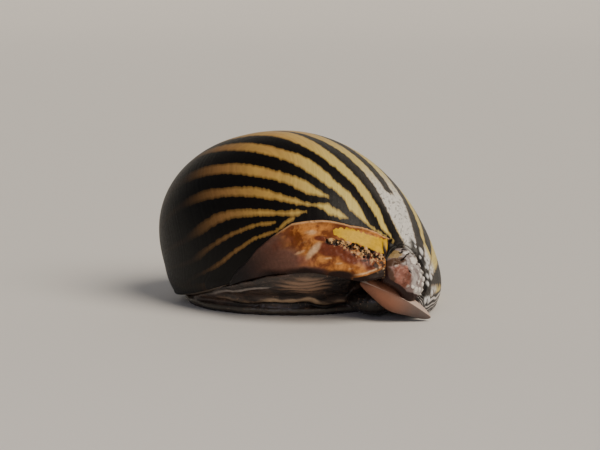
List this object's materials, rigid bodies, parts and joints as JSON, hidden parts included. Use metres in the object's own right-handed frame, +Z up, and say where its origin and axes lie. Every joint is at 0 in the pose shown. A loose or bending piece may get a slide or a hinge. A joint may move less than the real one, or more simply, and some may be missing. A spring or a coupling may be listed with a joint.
{
  "type": "nerite snail",
  "caption": "Crawling nerite snail, a life-size still model: striped domed shell with a worn spire and callus, leaf-shaped operculum, broad foot, head with two long tentacles and stalked eyes.",
  "frame": {"origin": "middle of the animal's bounding box, on the floor that the foot stands on", "axes": "+Y towards the head, the way the snail crawls; +X towards the animal's right, where the spire is; +Z up"},
  "size_m": [0.0234, 0.0274, 0.0143],
  "materials": {
    "striped_shell": "glossy gold with black toothed stripes",
    "worn_callus": "satin brown glaze, worn and pitted",
    "worn_spire": "chalky white, pitted",
    "horny_lid": "smooth satin, pinkish tan",
    "wet_flesh": "wet, dark grey-brown with pale lines",
    "eye_black": "glossy black"
  },
  "bodies": {
    "root": {"shell_body_whorl": "striped_shell", "shell_callus": "worn_callus", "shell_spire": "worn_spire", "operculum": "horny_lid", "mantle": "wet_flesh", "foot": "wet_flesh", "opercular_lobe": "wet_flesh", "head": "wet_flesh", "snout": "wet_flesh", "tentacle_left": "wet_flesh", "tentacle_right": "wet_flesh", "eye_stalk_left": "wet_flesh", "eye_stalk_right": "wet_flesh", "eye_left": "eye_black", "eye_right": "eye_black"}
  },
  "joints": []
}
